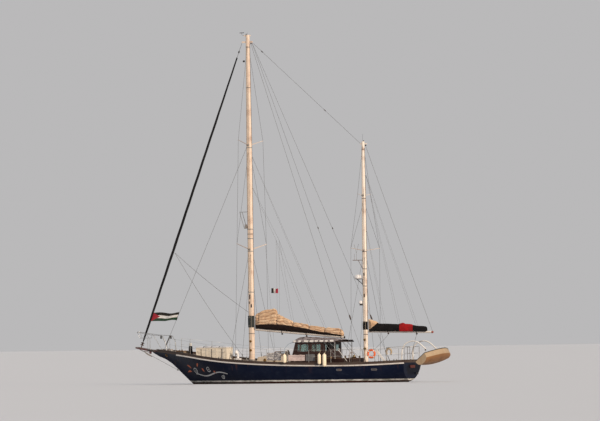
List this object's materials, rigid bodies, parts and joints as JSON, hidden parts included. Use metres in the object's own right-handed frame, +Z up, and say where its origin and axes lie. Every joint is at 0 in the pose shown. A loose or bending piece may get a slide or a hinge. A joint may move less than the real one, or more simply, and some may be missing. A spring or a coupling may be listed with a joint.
{
  "type": "two-masted sailing yacht",
  "caption": "Two-masted cruising sailing yacht afloat, sails furled on booms that swing, with rudder, wheel, propeller, hatch, locker and cabin door that move.",
  "frame": {"origin": "on the waterline plane, on the centreline, at the middle of the hull's length", "axes": "+X towards the bow, +Y to port, +Z up"},
  "size_m": [21.1679, 4.9696, 23.68],
  "materials": {
    "navy_paint": "gloss navy blue topside paint, weathered",
    "antifouling": "matt red-brown antifouling paint",
    "bronze": "cast bronze",
    "stainless_steel": "polished stainless tube and wire",
    "galvanised_iron": "galvanised iron",
    "teak": "weathered teak",
    "white_paint": "off-white gloss paint",
    "oxblood_paint": "dark red painted timber",
    "cream_paint": "cream paint",
    "dark_wood": "varnished dark hardwood",
    "glass": "tinted safety glass",
    "spar_paint": "warm cream spar paint",
    "black_canvas": "black acrylic canvas",
    "sailcloth": "sun-warmed buff sailcloth",
    "glassfibre": "cream gelcoat",
    "orange_foam": "orange closed-cell foam",
    "fender_vinyl": "cream inflated vinyl",
    "printed_canvas": "faded canvas",
    "flag_cloth": "woven polyester flag cloth"
  },
  "bodies": {
    "hull_and_rig": {"keel": "antifouling", "hull": "navy_paint", "propeller_shaft": "stainless_steel", "deck": "teak", "bulwark": "teak", "rubbing_strake_port": "white_paint", "rubbing_strake_starboard": "white_paint", "bowsprit": "oxblood_paint", "pulpit": "stainless_steel", "anchor": "galvanised_iron", "bobstay": "stainless_steel", "windlass": "galvanised_iron", "capstan": "black_canvas", "foredeck_locker": "cream_paint", "deck_ventilator": "white_paint", "trunk_cabin": "cream_paint", "pilothouse_walls": "dark_wood", "side_glass_port": "glass", "side_glass_starboard": "glass", "windscreen_glass": "glass", "cockpit_coaming": "dark_wood", "pilothouse_roof": "white_paint", "steering_pedestal": "dark_wood", "main_mast": "spar_paint", "main_lower_spreaders": "spar_paint", "main_upper_spreaders": "spar_paint", "mizzen_mast": "spar_paint", "mizzen_lower_spreaders": "spar_paint", "main_shrouds_port": "stainless_steel", "main_shrouds_starboard": "stainless_steel", "mizzen_shrouds_port": "stainless_steel", "mizzen_shrouds_starboard": "stainless_steel", "main_backstays": "stainless_steel", "triatic_stay": "stainless_steel", "furled_headsail": "black_canvas", "inner_forestay": "stainless_steel", "guard_rail_port": "stainless_steel", "guard_rail_starboard": "stainless_steel", "tender": "glassfibre", "stern_davits": "white_paint", "radar": "white_paint", "aerial_platform": "stainless_steel", "mast_lamp_frame": "stainless_steel", "life_ring": "orange_foam", "fender_1": "fender_vinyl", "fender_2": "fender_vinyl", "fender_3": "fender_vinyl", "weather_cloth_port": "printed_canvas", "bow_flag": "flag_cloth"},
    "main_boom_assembly": {"main_boom": "spar_paint", "main_sail_cover": "black_canvas", "main_sail": "sailcloth"},
    "mizzen_boom_assembly": {"mizzen_boom": "spar_paint", "mizzen_sail_cover": "black_canvas"},
    "rudder_blade": {"rudder": "antifouling"},
    "helm": {"steering_wheel": "dark_wood"},
    "screw": {"propeller": "bronze"},
    "hatch_lid": {"fore_hatch_lid": "teak"},
    "locker_lid": {"foredeck_locker_lid": "cream_paint"},
    "cabin_door": {"companionway_door": "dark_wood"}
  },
  "joints": [
    {"name": "main_boom_swing", "type": "hinge", "parent": "hull_and_rig", "child": "main_boom_assembly", "pos_m": [1.798, 0, 3.339], "axis": [0, 0, 1], "range_deg": [-60, 60]},
    {"name": "mizzen_boom_swing", "type": "hinge", "parent": "hull_and_rig", "child": "mizzen_boom_assembly", "pos_m": [-6.057, 0, 3.109], "axis": [0, 0, 1], "range_deg": [-60, 60]},
    {"name": "rudder_turn", "type": "hinge", "parent": "hull_and_rig", "child": "rudder_blade", "pos_m": [-6.42, 0, -1.3], "axis": [0, 0, 1], "range_deg": [-35, 35]},
    {"name": "wheel_turn", "type": "hinge", "parent": "hull_and_rig", "child": "helm", "pos_m": [-4.905, 0, 1.43], "axis": [1, 0, 0], "range_deg": [-540, 540]},
    {"name": "propeller_turn", "type": "hinge", "parent": "hull_and_rig", "child": "screw", "pos_m": [-6.12, 0, -1.1], "axis": [1, 0, 0], "continuous": true},
    {"name": "fore_hatch_open", "type": "hinge", "parent": "hull_and_rig", "child": "hatch_lid", "pos_m": [7.302, 0, 2.0353], "axis": [0, 1, 0], "range_deg": [0, 100]},
    {"name": "locker_open", "type": "hinge", "parent": "hull_and_rig", "child": "locker_lid", "pos_m": [4.675, -0.39, 2.2353], "axis": [1, 0, 0], "range_deg": [0, 95]},
    {"name": "cabin_door_open", "type": "hinge", "parent": "hull_and_rig", "child": "cabin_door", "pos_m": [-3.574, 0.312, 1.8], "axis": [0, 0, 1], "range_deg": [-90, 0]}
  ],
  "couplings": [
    {"joint": "wheel_turn", "follows": "rudder_turn", "ratio": 15.428}
  ]
}
